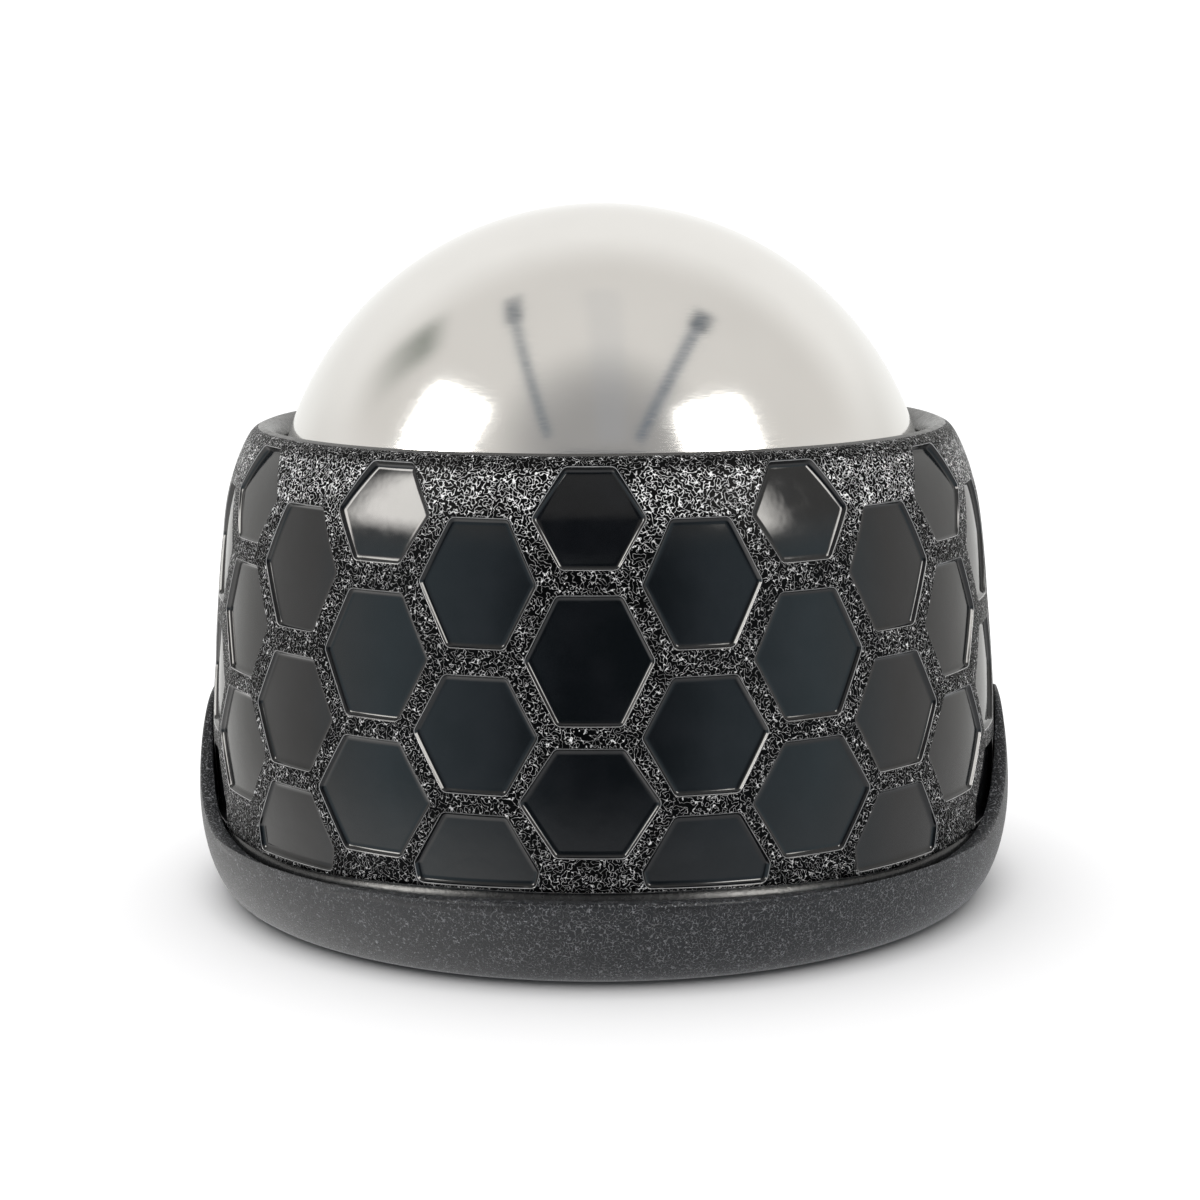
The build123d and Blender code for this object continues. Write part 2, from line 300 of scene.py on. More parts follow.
def rubber(name, colour, scale):
    """Dull rubber or film with a fine tooth."""
    s = Shader(name, Roughness=0.75)
    lighter = tuple(min(1.0, c * 1.6 + 0.004) for c in colour)
    return s.finish(s.mix(s.cloud(scale), colour, lighter), None, s.noise(scale * 6, detail=3.0), 0.00004)


# ---- collar ----------------------------------------------------------------------------------
SLEEVE = [(37.60, -26.0), (37.72, -17.5), (37.45, -12.0), (36.95, -6.0), (36.20, 1.5),
          (35.40, 5.7), (34.40, 8.5), (33.70, 9.9), (33.05, 10.72), (32.15, RIM_TOP)]
MOUTH = [(32.15, RIM_TOP), (31.1, RIM_TOP - 0.6), (30.55, RIM_TOP - 1.6)]
INNER_WALL = [(31.38, 6.2), (33.3, 6.2), (33.3, -1.15), (33.1, -1.35), (33.1, -1.75), (34.0, -2.6),
              (34.9, -12.0), (35.3, -18.0), (35.5, -28.6)]
FOOT_R = SLEEVE[0][0]
BAND_R, BAND_LOW = 37.45, -26.9          # smooth band along the lower edge
BAND_GROOVE = 0.12                       # depth of the groove between band and grip
TONGUE_R, TONGUE_END = 36.9, -28.6       # the part that drops inside the cup
TONGUE_BEVEL = 0.2
GRIP_TOP = 10.42                         # the net of ribs ends here and the turned rim starts
GRAIN_ROWS = 5                           # rows of the rim that still have the ribs' grain

COLUMNS = 24
COLUMN_STEP = TAU / COLUMNS
BACK = COLUMNS // 2                      # the column at the back
# courses of hexagons: top, bottom, half width at the corners, half width of the flat top and bottom
EVEN = [(10.25, 1.95, 4.80, 2.10, 2.40), (-0.10, -10.90, 5.45, 2.75, 2.75),
        (-12.70, -22.00, 6.00, 2.90, 2.95)]
ODD = [(6.05, -4.70, 5.20, 2.55, 2.55), (-6.90, -16.85, 5.55, 2.80, 2.80),
       (-18.50, -27.80, 5.60, 2.85, 2.85)]
# how far the top and bottom of the second and third even course are raised, by columns from the front or
# the back, and how far in the columns towards the lobes
RAISED = {0: (0, 0, 0, 0), 2: (-0.30, -0.35, -0.20, -0.95)}
RAISED_AT_LOBES = (0.10, 0.90, 1.10, 0.70)
# lower edge of the grip, seen from the side: distance from the middle, height
SLEEVE_EDGE = np.array([(0, -25.4), (14, -25.4), (21, -25.6), (26, -25.8), (30, -25.6), (34, -25.2),
                        (36.5, -24.92), (40, -24.9)])
BAND_RIB = 0.27                  # what is left of the grip between the lowest hexagons and the band
CUT_SHORT = -25                  # a hexagon that would reach below this is cut off by the band
FOOT_INSET = 0.35                # and is this much narrower there, on each side, than at its corners

POCKET = 0.4
TOP_TILT = 0.055                 # the floors of the top course lean back a little more than the side
TOP_FLAT = 0.08                  # and are flatter across than the side
# how a pocket's edge goes down: distance inside the outline, depth
POCKET_EDGE = [(-0.13, 0.0), (-0.05, 0.01), (0.0, 0.035), (0.035, 0.08), (0.12, 0.22), (0.22, 0.34),
               (0.36, POCKET), (0.62, POCKET)]
BEVEL_ROW = 2                    # the row of faces of this edge that is the bevel, painted grey as a painted highlight
POCKET_CORNER, LEAST_CORNER = 0.62, 0.15         # radius of a pocket's corners
FLOOR_SCALES = 0.84, 0.66, 0.48, 0.32, 0.16      # rings of a pocket's floor, shrinking to its middle
POCKET_STEP = 0.55               # spacing of the points along a pocket's edge
ARC_STEPS = 4                    # faces round a pocket's corner

SIDES = 480                      # steps round the collar
CUT = (BACK + 0.5) * COLUMN_STEP         # where the collar is cut open to be laid flat
ANGLES = [CUT - TAU + TAU * i / SIDES for i in range(SIDES + 1)]
UNROLL = 36.5                    # radius at which the surface is laid flat
NET_STEP, NET_ROW = 0.56, 0.866  # spacing of the net's points, and its rows' spacing as a share of it
NET_GAP = 0.27                   # least distance from the net's loose points to a hexagon's edge

# the collar's material slots
RIBS, FLOORS, RIM, INSIDE, EDGE_HIGHLIGHT, BAND = range(6)


class Profile:
    """Outside line of the collar, measured along its length from the bottom."""

    def __init__(self, points):
        line = spline(points)
        self.v = np.r_[0, np.cumsum(np.hypot(*np.diff(line, axis=0).T))]
        self.r, self.z = line[:, 0], line[:, 1]
        gr, gz = np.gradient(self.r, self.v), np.gradient(self.z, self.v)
        size = np.hypot(gr, gz)
        self.nr, self.nz = gz / size, -gr / size

    def along(self, z):
        return float(np.interp(z, self.z, self.v))

    def at(self, v, depth=0.0):
        """(radius, height) at length v, depth below the surface."""
        r, z, nr, nz = (float(np.interp(v, self.v, a)) for a in (self.r, self.z, self.nr, self.nz))
        return r - depth * nr, z - depth * nz


side = Profile(SLEEVE)
V_HIGH = side.along(GRIP_TOP)


def courses(column):
    """Hexagons of one column, from the top down."""
    if column % 2:
        return ODD
    off_front = min(column % BACK, -column % BACK)
    raised = RAISED.get(off_front, RAISED_AT_LOBES)
    first, second, third = EVEN
    return [first, (second[0] + raised[0], second[1] + raised[1], *second[2:]),
            (third[0] + raised[2], third[1] + raised[3], *third[2:])]


def edge_height(angle):
    """Height of the grip's lower edge."""
    return float(np.interp(abs(FOOT_R * math.cos(angle)), SLEEVE_EDGE[:, 0], SLEEVE_EDGE[:, 1]))


def outline(course, angle):
    """Corners of one hexagon, clockwise: distance across, length up the side."""
    top, low, half, flat_top, flat_low = course
    v_top, waist, v_low = (side.along(z) for z in (top, (top + low) / 2, low))
    right, left = (flat_low, v_low), (-flat_low, v_low)
    if low < CUT_SHORT:
        foot = half - FOOT_INSET
        lean = math.asin(foot / FOOT_R)
        right = (foot, side.along(edge_height(angle + lean) + BAND_RIB))
        left = (-foot, side.along(edge_height(angle - lean) + BAND_RIB))
    return [(flat_top, v_top), (half, waist), right, left, (-half, waist), (-flat_top, v_top)]


def offset_outline(corners, inward, radius, counts):
    """The outline moved inwards, its corners rounded, sampled the same way at every distance."""
    n = len(corners)
    lines = []
    for i in range(n):
        a, b = Vector(corners[i]), Vector(corners[(i + 1) % n])
        d = (b - a).normalized()
        inside = Vector((d.y, -d.x))
        lines.append((a + inside * inward, d))
    arcs, ends = [], []
    for i in range(n):
        (p, d), (q, e) = lines[i - 1], lines[i]
        cross = d.x * e.y - d.y * e.x
        corner = p + d * (((q - p).x * e.y - (q - p).y * e.x) / cross)
        turn = math.acos(max(-1, min(1, d.dot(e))))
        back = radius * math.tan(turn / 2)
        start = corner - d * back
        middle = start + Vector((d.y, -d.x)) * radius
        arcs.append([middle + Matrix.Rotation(-turn * k / ARC_STEPS, 2) @ (start - middle)
                     for k in range(ARC_STEPS + 1)])
        ends.append(corner + e * back)
    out = []
    for i in range(n):
        out.extend(arcs[i])
        following = arcs[(i + 1) % n][0]
        for k in range(1, counts[i]):
            out.append(ends[i].lerp(following, k / counts[i]))
    return out


def wrap(column_angle, across, v, depth=0.0):
    """Angle, radius and height of a point across a column's own upright plane."""
    r_top, _ = side.at(v)
    r, z = side.at(v, depth)
    return column_angle + math.asin(across / r_top), r, z


def sink(course, across, v):
    """How much deeper than the others the floor of a top pocket lies here."""
    if course != EVEN[0]:
        return 0.0
    top, low, half = course[:3]
    lean = TOP_TILT * (v - side.along((top + low) / 2))
    return lean + TOP_FLAT * (1 - 2 * (across / half) ** 2)


def add_pocket(collar, angle, course):
    """Walls and floor of one sunken hexagon. Returns its outline on the flat sheet."""
    corners = outline(course, angle)
    counts = []
    for i in range(6):
        length = (Vector(corners[(i + 1) % 6]) - Vector(corners[i])).length
        counts.append(max(3, round(length / POCKET_STEP)))
    rings = []
    for inward, depth in POCKET_EDGE:
        ring = offset_outline(corners, inward, max(POCKET_CORNER - inward, LEAST_CORNER), counts)
        rings.append([(p.x, p.y, depth * (1 + sink(course, p.x, p.y) / POCKET)) for p in ring])
    rows = []
    for ring in rings:
        rows.append(collar.add([on_cylinder(*wrap(angle, a, v, d)) for a, v, d in ring]))
    for k, (low, high) in enumerate(zip(rows, rows[1:])):
        collar.bridge(low, high, RIBS if k == 0 else EDGE_HIGHLIGHT if k == BEVEL_ROW else FLOORS)
    middle = np.mean([(a, v) for a, v, _ in rings[-1]], axis=0)
    last = rows[-1]
    for scale in FLOOR_SCALES:
        ring = [middle + (np.array((a, v)) - middle) * scale for a, v, _ in rings[-1]]
        row = collar.add([on_cylinder(*wrap(angle, a, v, POCKET + sink(course, a, v))) for a, v in ring])
        collar.bridge(last, row, FLOORS)
        last = row
    tip = collar.add([on_cylinder(*wrap(angle, *middle, POCKET + sink(course, *middle)))])[0]
    collar.fan(last, tip, FLOORS)
    return np.array([(wrap(angle, a, v)[0] * UNROLL, v) for a, v, _ in rings[0]])


def reach(column, v):
    """Half width of a column's hexagons at length v, carried straight across the ribs."""
    marks = []
    for course in courses(column):
        marks += [(p[1], p[0]) for p in outline(course, column * COLUMN_STEP)[:3]]
    marks.sort()
    return float(np.interp(v, [m[0] for m in marks], [m[1] for m in marks]))


def low_end(angle):
    return side.along(edge_height(angle))


def cut_line():
    """The cut at the back, as angles and lengths: it winds midway between two columns of hexagons."""
    foot = side.along(edge_height(CUT) + BAND_RIB)
    line = [(CUT, low_end(CUT))]
    for v in np.arange(foot + 0.05, V_HIGH - 0.3, 0.5):
        radius = side.at(v)[0]
        left = BACK * COLUMN_STEP + math.asin(reach(BACK, v) / radius)
        right = (BACK + 1) * COLUMN_STEP - math.asin(reach(BACK + 1, v) / radius)
        line.append(((left + right) / 2, v))
    line[1] = (line[1][0], (low_end(CUT) + foot) / 2)
    line.append((CUT, V_HIGH))
    return line


def loose_points(hexes, cut_at):
    """Points on the flat sheet between the hexagons, which keep the net's triangles even."""
    us, vs = np.meshgrid(np.arange(ANGLES[0] * UNROLL - 3, CUT * UNROLL + 3, NET_STEP),
                         np.arange(side.along(SLEEVE_EDGE[:, 1].min()), V_HIGH - 0.2, NET_STEP * NET_ROW))
    us = us + (np.arange(us.shape[0]) % 2)[:, None] * NET_STEP / 2
    points = np.c_[us.ravel(), vs.ravel()]
    right_cut = cut_at(points[:, 1])
    keep = (points[:, 0] < right_cut - 0.3) & (points[:, 0] > right_cut - TAU * UNROLL + 0.3)
    keep &= points[:, 1] > np.array([low_end(u / UNROLL) for u in points[:, 0]]) + 0.25
    for ring in hexes:
        near = np.abs(points[:, 0] - ring[:, 0].mean()) < 8
        edge = np.roll(ring, -1, axis=0) - ring
        outwards = np.c_[-edge[:, 1], edge[:, 0]] / np.hypot(*edge.T)[:, None]
        index = np.nonzero(near & keep)[0]
        away = ((points[index, None, :] - ring[None]) * outwards[None]).sum(2).max(1)
        keep[index[away < NET_GAP]] = False
    return points[keep]


def add_net(collar, hexes):
    """The net of ribs: laid flat, cut at the back, filled with triangles and wrapped."""
    line = cut_line()
    cut_u, cut_v = (np.array(values) for values in zip(*((a * UNROLL, v) for a, v in line)))

    def cut_at(v):
        return np.interp(v, cut_v, cut_u)

    border = [(a * UNROLL, low_end(a)) for a in ANGLES]
    border += [(a * UNROLL, v) for a, v in line[1:-1]]
    border += [(a * UNROLL, V_HIGH) for a in reversed(ANGLES)]
    border += [((a - TAU) * UNROLL, v) for a, v in reversed(line[1:-1])]

    points, edges, owner = [], [], []            # owner: the hexagon that a point belongs to, or -1
    for number, ring in [*enumerate(hexes), (-1, border)]:
        first = len(points)
        points += [tuple(p) for p in ring]
        edges += [(first + i, first + (i + 1) % len(ring)) for i in range(len(ring))]
        owner += [number] * len(ring)
    loose = loose_points(hexes, cut_at)
    points += [tuple(p) for p in loose]
    owner += [-1] * len(loose)

    net, _, faces, origin, _, _ = delaunay_2d_cdt([Vector(p) for p in points], edges, [], 1, 1e-7, True)
    source = [o[0] if o else None for o in origin]
    flat = [p if i is None else points[i] for p, i in zip(net, source)]
    wrapped = collar.add([on_cylinder(u / UNROLL, *side.at(v)) for u, v in flat])
    for f in faces:
        owners = {None if source[i] is None else owner[source[i]] for i in f}
        if len(owners) == 1 and owners.isdisjoint((None, -1)):
            continue                                                        # inside a hexagon
        u, v = np.mean([net[i] for i in f], axis=0)
        if not -TAU * UNROLL < u - cut_at(v) < 0:
            continue                                                        # beyond the cut
        collar.face([wrapped[i] for i in f], RIBS)


def lathe_row(builder, radius, height):
    """One closed row of points; radius and height are numbers or functions of the angle."""
    row = []
    for a in ANGLES[:-1]:
        r = radius(a) if callable(radius) else radius
        z = height(a) if callable(height) else height
        row.append(on_cylinder(a, r, z))
    return builder.add(row)


def above_edge(lift):
    return lambda a: edge_height(a) + lift


def add_turned_parts(collar):
    """Rim, mouth, inner wall, tongue, band and groove."""
    rim = [lathe_row(collar, *side.at(V_HIGH))]
    for v in np.linspace(V_HIGH, side.along(RIM_TOP) - 0.02, 9)[1:]:
        rim.append(lathe_row(collar, *side.at(v)))
    rim += [lathe_row(collar, r, z) for r, z in spline(MOUTH, 6)]
    collar.rows(rim[:GRAIN_ROWS + 1], RIBS)
    collar.rows(rim[GRAIN_ROWS:], RIM)

    inner = [rim[-1]]
    for (r0, z0), (r1, z1) in zip([MOUTH[-1]] + INNER_WALL, INNER_WALL):
        steps = max(1, round(math.hypot(r1 - r0, z1 - z0) / 3.0))
        for k in range(1, steps + 1):
            inner.append(lathe_row(collar, r0 + (r1 - r0) * k / steps, z0 + (z1 - z0) * k / steps))
    inner.append(lathe_row(collar, TONGUE_R - TONGUE_BEVEL, TONGUE_END))
    inner.append(lathe_row(collar, TONGUE_R, TONGUE_END + TONGUE_BEVEL))
    collar.rows(inner, INSIDE)

    band = [inner[-1]]
    for radius, height in ((TONGUE_R, -27.45), (BAND_R, BAND_LOW), (BAND_R, above_edge(-0.26)),
                           (BAND_R - BAND_GROOVE, above_edge(-0.23)),
                           (BAND_R - BAND_GROOVE, above_edge(-0.12)),
                           (37.46, above_edge(-0.09)), (37.55, above_edge(-0.06))):
        band.append(lathe_row(collar, radius, height))
    collar.rows(band, BAND)
    grip_foot = lathe_row(collar, lambda a: side.at(low_end(a))[0], lambda a: side.at(low_end(a))[1])
    # painted highlight: the strip along the grip's lower edge is painted grey
    collar.bridge(band[-1], grip_foot, EDGE_HIGHLIGHT)


def build_collar():
    """Upper half of the housing, with the sunken hexagons."""
    collar = Builder()
    hexes = []
    for column in range(1 - BACK, BACK + 1):
        for course in courses(column):
            hexes.append(add_pocket(collar, column * COLUMN_STEP, course))
    add_net(collar, hexes)
    add_turned_parts(collar)
    # the ribs' near-white ridges are a painted highlight on black plastic
    ribs = grained_plastic("rib_grain_and_glint", (0.0008, 0.0009, 0.0011), (0.98, 0.98, 0.98), 6000.0, 0.50, 0.79,
                           depth=0.00005, rough=0.28, gloss=0.05, shoulder_highlight=0.11)
    return collar.to_object("collar_grip", [
        ribs, gloss_floor("hexagon_gloss"),
        smooth_plastic("rim_plastic", (0.004, 0.0038, 0.0036), 0.24), inner_plastic,
        # painted highlight: the bevels and the grip's lower edge, grey on the same black plastic
        smooth_plastic("hexagon_edge_highlight", (0.30, 0.30, 0.30), 0.26),
        smooth_plastic("band_plastic", (0.016, 0.0165, 0.017), 0.26)])


# ---- base cup --------------------------------------------------------------------------------
CUP_R, CUP_WIDEST = 39.2, -23.9
FLAT_R = 35.5                            # where the round corner meets the flat underside
CORNER_STEPS, CORNER_END = 15, 13        # of its steps, the corner is followed up to this one
TAPER = 1.0                              # how much narrower the cup is at the top of its lobes
LOBE_TOP = -14.9
CUP_INSIDE_R = 37.86
FLOOR_TOP, FLOOR_MIDDLE_R = -31.95, 20.0
PAD_RECESS = 0.5
LIP_R = 38.7                             # radius at which the lip's line is given
# the lip seen from the side, straight at a lobe: distance from the lobe's middle, height
LIP = spline([(0, LOBE_TOP), (3, -15.8), (5.5, -18.0), (8, -20.7), (10.5, -22.9), (13, -24.4), (16, -25.4),
              (19.5, -26.05), (23, -26.42), (26, -26.5), (29, -26.4), (31.5, -26.2), (34, -25.95),
              (36.5, -25.7), (40, -25.4)])
WALL_TOP = 0.30                          # the outside wall ends this far below the lip
# how the lip is rounded: distance in from the outside wall, height from the lip
LIP_ROUND = (0.01, -0.20), (0.04, -0.12), (0.10, -0.06), (0.20, -0.02), (0.34, 0.0)


def cup_radius(z):
    if z < CUP_WIDEST:
        k = (z - CUP_WIDEST) / (CUP_LOW - CUP_WIDEST)
        return FLAT_R + (CUP_R - FLAT_R) * math.sqrt(max(0.0, 1 - k * k))
    k = (z - CUP_WIDEST) / (LOBE_TOP - CUP_WIDEST)
    return CUP_R - TAPER * k ** 1.9


def corner(step):
    """(radius, height) on the round corner."""
    a = math.pi / 2 * step / CORNER_STEPS
    return FLAT_R + (CUP_R - FLAT_R) * math.sin(a), CUP_WIDEST + (CUP_LOW - CUP_WIDEST) * math.cos(a)


def lip_height(a):
    return float(np.interp(abs(LIP_R * math.cos(a)), LIP[:, 0], LIP[:, 1]))


def wall_height(share):
    """Height at a share of the way from the corner's end to the wall's top, as a function of the angle."""
    start = corner(CORNER_END)[1]
    return lambda a: start + (lip_height(a) - WALL_TOP - start) * share


def lip_row(cup, inward, lift):
    return lathe_row(cup, lambda a: cup_radius(lip_height(a) - WALL_TOP) - inward,
                     lambda a: lip_height(a) + lift)


def build_cup():
    """Lower half of the housing, with a raised lobe on each side."""
    cup = Builder()
    recess = CUP_LOW + PAD_RECESS
    under = [lathe_row(cup, r, z) for r, z in (
        (FLOOR_MIDDLE_R, recess), (33.55, recess), (33.7, recess - 0.1), (33.72, CUP_LOW + 0.08),
        (33.85, CUP_LOW), (35.0, CUP_LOW))]
    cup.rows(under, 1)
    outside = [under[-1]] + [lathe_row(cup, *corner(k)) for k in range(1, CORNER_END)]
    for k in range(13):
        height = wall_height(k / 12)
        outside.append(lathe_row(cup, lambda a: cup_radius(height(a)), height))
    outside += [lip_row(cup, inward, lift) for inward, lift in LIP_ROUND]
    outside.append(lathe_row(cup, CUP_INSIDE_R + 0.10, lip_height))
    outside.append(lathe_row(cup, CUP_INSIDE_R, lambda a: lip_height(a) - 0.08))
    cup.rows(outside, 0)
    inside = [outside[-1]] + [lathe_row(cup, r, z) for r, z in (
        (CUP_INSIDE_R, -27.1), (37.05, -27.7), (37.05, -28.9), (36.75, -29.8), (36.1, -30.9),
        (34.6, FLOOR_TOP), (FLOOR_MIDDLE_R, FLOOR_TOP))]
    cup.rows(inside, 1)
    for ring, height in ((under[0], recess), (inside[-1], FLOOR_TOP)):
        cup.fan(ring, cup.add([on_cylinder(0, 0, height)])[0], 1)
    # front to back the cup stays as wide as the part's own, which is faceted there
    low_y, high_y = (corner[1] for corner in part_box("base_cup"))
    cup.verts = [(x, min(max(y, low_y), high_y), z) for x, y, z in cup.verts]
    # the cup's brighter ridges and its bright points are painted highlight and painted glints
    grain = grained_plastic("cup_grain_and_glint", (0.010, 0.0110, 0.0130), (0.260, 0.266, 0.280), 5600.0, 0.40, 0.84,
                            depth=0.00008, rough=0.30, gloss=0.45, painted_sparkle=2.0)
    return cup.to_object("cup_skin", [grain, inner_plastic])


# ---- ball ------------------------------------------------------------------------------------
SHELL_INSIDE_R = 30.3
BORE_R, BORE_TOP = 3.0, -30.2            # the filling hole below, and where it meets the inside
SEAT_R, SEAT_DEPTH = 3.8, 0.60           # the seat of its plug
OUTSIDE_RINGS, INSIDE_RINGS, AROUND = 150, 40, 300


def ball_rings(ball, radius, hole, rings):
    """Rows of a sphere, from the edge of a hole at the bottom to just under the top."""
    start = math.asin(hole / radius)
    rows = []
    for k in range(rings):
        a = start + (math.pi - start) * k / rings
        rows.append(ball_row(ball, radius * math.sin(a), -radius * math.cos(a)))
    return rows


def ball_row(ball, radius, height):
    return ball.add([on_cylinder(TAU * i / AROUND, radius, height) for i in range(AROUND)])


def build_ball():
    """Hollow ball, open at the filling hole."""
    ball = Builder()
    outside = ball_rings(ball, BALL_R, SEAT_R, OUTSIDE_RINGS)
    ball.rows(outside)
    ball.fan(outside[-1], ball.add([on_cylinder(0, 0, BALL_R)])[0])
    seat_z = -BALL_R * math.cos(math.asin(SEAT_R / BALL_R)) + SEAT_DEPTH
    seat = [ball_row(ball, r, z) for r, z in ((SEAT_R, seat_z), (BORE_R, seat_z), (BORE_R, BORE_TOP))]
    ball.rows([outside[0]] + seat)
    inside = ball_rings(ball, SHELL_INSIDE_R, BORE_R, INSIDE_RINGS)
    ball.rows([seat[-1]] + inside)
    ball.fan(inside[-1], ball.add([on_cylinder(0, 0, SHELL_INSIDE_R)])[0])
    obj = ball.to_object("ball_mirror", [steel("mirror_steel", (0.86, 0.85, 0.83), 0.10)])
    obj.data.set_sharp_from_angle(angle=math.radians(35))
    return obj


# ---- bodies, slots and carried-over nodes ----------------------------------------------------
inner_plastic = smooth_plastic("inner_plastic", (0.012, 0.012, 0.012), 0.45)
for obj, body, node, slot in ((build_collar(), "housing", "collar", "grip_plastic"),
                              (build_cup(), "housing", "base_cup", "cup_plastic"),
                              (build_ball(), "ball", "ball_shell", "polished_steel")):
    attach(obj, body)
    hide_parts(node)

bearing_steel = steel("bearing_steel", (0.72, 0.72, 0.73), 0.10)
finishes = {
    "glide_ring": smooth_plastic("glide_plastic", (0.60, 0.60, 0.56), 0.35),
    "bearing_cradle": smooth_plastic("cradle_plastic", (0.55, 0.55, 0.52), 0.40),
    "fill_plug": bearing_steel,
    "gel_core": gel("cold_gel"),
    "housing_screws": steel("screw_steel", (0.60, 0.60, 0.62), 0.28, 0.00001),
    "pad_adhesive": rubber("adhesive_film", (0.55, 0.53, 0.47), 900.0),
    "non_slip_pad": rubber("pad_rubber", (0.020, 0.020, 0.021), 700.0),
}
finishes.update({f"support_ball_{i}": bearing_steel for i in range(1, 7)})
for name, material in finishes.items():
    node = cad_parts[name]
    if not node.material_slots:
        node.data.materials.append(material)
    for slot in node.material_slots:
        slot.material = material

# ---- camera, floor and lamp ------------------------------------------------------------------
CAMERA_BACK, CAMERA_UP = 229.997, 32.267   # in front of the ball's centre, and above it
SENSOR, LENS = 36.0, 72.0
# degrees: looking down, tilted to a side, walked round the object, and aimed past its axis
PITCH, ROLL, TURN, AIM = 9.59, -0.39, 1.75, 0.067
FLOOR_HALF = 1.5                         # metres
PAPER = (0.75, 0.75, 0.755), (0.76, 0.76, 0.765)
LAMP_SIZE, LAMP_POWER, LAMP_TILT = 0.5, 1.0, -6
LAMP_PLACE = (-0.05, -0.08, 0.75)

turn = math.radians(TURN)


def into_scene(name, data):
    obj = bpy.data.objects.new(name, data)
    bpy.context.scene.collection.objects.link(obj)
    return obj


def rotation(degrees, axis):
    return Matrix.Rotation(math.radians(degrees), 4, axis)


def add_camera():
    data = bpy.data.cameras.new("camera")
    data.sensor_width, data.lens, data.clip_start = SENSOR, LENS, 0.01
    camera = into_scene("camera", data)
    bpy.context.scene.camera = camera
    place = Vector((CAMERA_BACK * math.sin(turn), -CAMERA_BACK * math.cos(turn), CAMERA_UP + BALL_Z)) * MM
    look = rotation(TURN + AIM, "Z") @ rotation(90 - PITCH, "X") @ rotation(ROLL, "Z")
    camera.matrix_world = Matrix.Translation(place) @ look


def add_floor():
    """White paper."""
    mesh = bpy.data.meshes.new("floor")
    h = FLOOR_HALF
    mesh.from_pydata([(-h, -h, 0), (h, -h, 0), (h, h, 0), (-h, h, 0)], [], [(0, 1, 2, 3)])
    paper = Shader("paper", Roughness=0.9, Specular_IOR_Level=0.0)
    paper.feed(paper.bsdf.inputs["Base Color"], paper.mix(paper.noise(30.0), *PAPER))
    mesh.materials.append(paper.material)
    floor = into_scene("floor", mesh)
    floor.visible_glossy = False


def add_lamp():
    data = bpy.data.lights.new("overhead", "AREA")
    data.shape, data.size, data.energy = "DISK", LAMP_SIZE, LAMP_POWER
    lamp = into_scene("overhead", data)
    lamp.matrix_world = Matrix.Translation(LAMP_PLACE) @ rotation(LAMP_TILT, "X")
    lamp.visible_glossy = False


add_camera()
add_floor()
add_lamp()

# ---- surroundings ----------------------------------------------------------------------------
ROOM, BACKDROP = (0.73, 0.71, 0.68), (0.93, 0.92, 0.895)     # walls behind the camera, and the backdrop
AHEAD, AHEAD_TINT = (0, 36), (0.36, 0.355, 0.35)             # the dim part above the camera
# the low part of the room, from behind the object to behind the camera
LOW_ROOM = [(-1.0, (1.02, 1.02, 1.00)), (-0.60, (0.80, 0.79, 0.765)), (-0.05, (0.84, 0.82, 0.80)),
            (0.45, (0.62, 0.78, 0.86)), (0.84, (0.36, 0.45, 0.52)), (0.985, (0.03, 0.05, 0.07))]
RAMP_RANGE = 2.0                                             # a ramp's colours only go up to 1
PAPER_LEFT, PAPER_RIGHT = (1.80, 1.78, 1.75), (0.80, 0.81, 0.83)     # glow of the white paper below
# strips: from, to, half width, softness, strength at the start and the end, colour
STRIPS = [
    ((-17, 24), (17, 24), 0.15, 0.05, None, (0.03, 0.04, 0.06)),                # between the softboxes
    ((-113, 67), (-22, 39), 0.026, 0.022, (0.60, 0.85), (0.16, 0.19, 0.22)),    # left stand
    ((-121, 66), (-90, 68), 0.040, 0.024, (0.50, 0.75), (0.14, 0.16, 0.18)),    # and its top
    ((102, 64), (15, 38), 0.030, 0.022, (0.75, 0.80), (0.13, 0.16, 0.20)),      # right stand
    ((107, 63), (85, 65), 0.046, 0.024, (0.50, 0.85), (0.11, 0.13, 0.15)),      # and its top
    ((178, 82), (4, 38), 0.085, 0.035, (0.14, 0.26), (0.38, 0.40, 0.44)),       # the camera's own stand
    ((-110, 48), (-112, 26), 0.12, 0.085, (0.95, 0.1), (0.26, 0.28, 0.25)),     # dark corner at the left
]
SOFTBOXES = ((-68, 43), (-67, 20)), ((50, 44), (48, 21))
SOFTBOX, HALO = (14.6, 14.2, 13.5), (0.95, 0.95, 0.93)
HALO_SPILL = 0.05
# the dome that lights the matt surfaces, brightest above and a little to the left
DOME_TOP, DOME_LOW, DOME_HIGH = (-160, 80), (0.10, 0.103, 0.107), (2.25, 2.24, 2.23)
PLAIN_WHITE = (1.2, 1.2, 1.2)


def sky(azimuth, elevation):
    """Direction in degrees: azimuth from the camera's side, positive to its right, and elevation."""
    a, e = turn + math.radians(azimuth), math.radians(elevation)
    return Vector((math.sin(a) * math.cos(e), -math.cos(a) * math.cos(e), math.sin(e)))


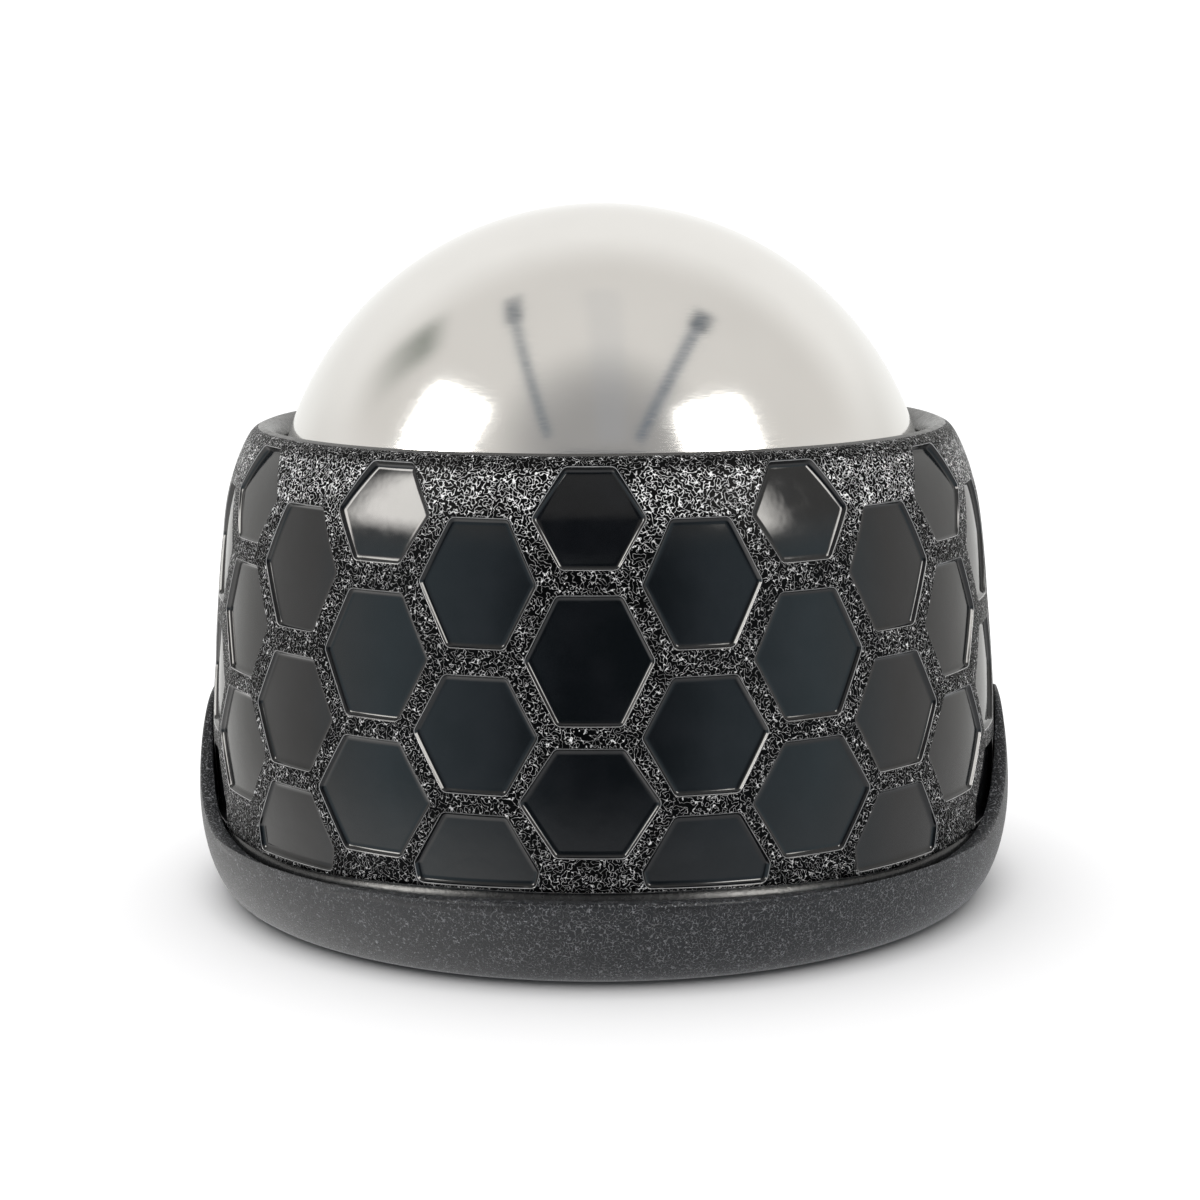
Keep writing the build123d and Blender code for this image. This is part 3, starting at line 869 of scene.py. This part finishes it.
class Surroundings(Nodes):
    """The world, by direction: what the gloss reflects and what lights the matt surfaces."""

    def __init__(self, name):
        world = bpy.data.worlds.new(name)
        bpy.context.scene.world = world
        world.use_nodes = True
        super().__init__(world.node_tree)
        self.direction = self.node("TexCoord").outputs["Generated"]

    def towards(self, axis):
        """Cosine of the angle to an axis."""
        node = self.node("VectorMath", operation="DOT_PRODUCT")
        self.feed(node.inputs[0], self.direction)
        self.feed(node.inputs[1], axis)
        return node.outputs["Value"]

    def patch(self, start, end, half_wide, soft, strength=None, spill=0.0):
        """Mask of a soft strip from one direction to another. strength scales it from start to end."""
        a, b = sky(*start), sky(*end)
        centre = (a + b).normalized()
        long_axis = (b - a).normalized()
        half_long = math.tan(a.angle(b) / 2) + spill
        depth = self.towards(centre)
        safe = self.math("MAXIMUM", depth, 0.02)
        x = self.math("DIVIDE", self.towards(long_axis), safe)
        y = self.math("DIVIDE", self.towards(centre.cross(long_axis)), safe)
        mask = self.math("MULTIPLY",
                         self.span(self.math("ABSOLUTE", x), half_long - soft, half_long + soft, 1.0, 0.0),
                         self.span(self.math("ABSOLUTE", y), half_wide - soft, half_wide + soft, 1.0, 0.0))
        mask = self.math("MULTIPLY", mask, self.span(depth, 0.0, 0.05))
        if strength:
            mask = self.math("MULTIPLY", mask, self.span(x, -half_long, half_long, *strength))
        return mask

    def low_room(self):
        """Colours of the room's low part."""
        ramp = self.node("ValToRGB")
        self.feed(ramp.inputs[0], self.math("MULTIPLY_ADD", self.towards(sky(0, 0)), 0.5, 0.5))
        stops = ramp.color_ramp.elements
        while len(stops) < len(LOW_ROOM):
            stops.new(0.5)
        for stop, (where, _) in zip(stops, LOW_ROOM):
            stop.position = (where + 1) / 2
        for stop, (_, tint) in zip(stops, LOW_ROOM):
            stop.color = (*(c / RAMP_RANGE for c in tint), 1.0)
        return self.mix(1.0, ramp.outputs["Color"], (RAMP_RANGE,) * 3, "MULTIPLY")

    def studio(self):
        """Walls, paper, stands and softboxes."""
        skyward = self.towards(Vector((0, 0, 1)))
        colour = self.mix(self.span(self.towards(sky(0, PITCH)), -0.55, -0.10), BACKDROP, ROOM)
        colour = self.mix(self.span(self.towards(sky(*AHEAD)), 0.76, 0.985), colour, AHEAD_TINT)
        colour = self.mix(self.span(skyward, 0.16, 0.46, 1.0, 0.0), colour, self.low_room())
        paper = self.mix(self.span(self.towards(sky(90, 0)), -0.75, 0.0), PAPER_LEFT, PAPER_RIGHT)
        colour = self.mix(self.span(skyward, -0.50, -0.14, 1.0, 0.0), colour, paper)
        for *strip, tint in STRIPS:
            colour = self.mix(self.patch(*strip), colour, tint)
        for box in SOFTBOXES:
            colour = self.mix(self.patch(*box, 0.245, 0.11, spill=HALO_SPILL), colour, HALO)
        for box in SOFTBOXES:
            colour = self.mix(self.patch(*box, 0.185, 0.07), colour, SOFTBOX)
        return colour

    def background(self, value):
        node = self.node("Background")
        self.feed(node.inputs["Color"], value)
        return node.outputs[0]

    def choose(self, factor, a, b):
        node = self.node("MixShader")
        for socket, value in zip(node.inputs, (factor, a, b)):
            self.feed(socket, value)
        return node.outputs[0]

    def build(self):
        """The studio for the gloss, the dome for the matt surfaces and plain white for the camera."""
        path = self.node("LightPath")
        dome = self.mix(self.span(self.towards(sky(*DOME_TOP)), 0.1, 1.0), DOME_LOW, DOME_HIGH)
        surround = self.choose(path.outputs["Is Glossy Ray"], self.background(dome),
                               self.background(self.studio()))
        surround = self.choose(path.outputs["Is Camera Ray"], surround, self.background(PLAIN_WHITE))
        self.feed(self.node("OutputWorld").inputs["Surface"], surround)


Surroundings("studio").build()
bpy.context.scene.view_settings.view_transform = "Standard"
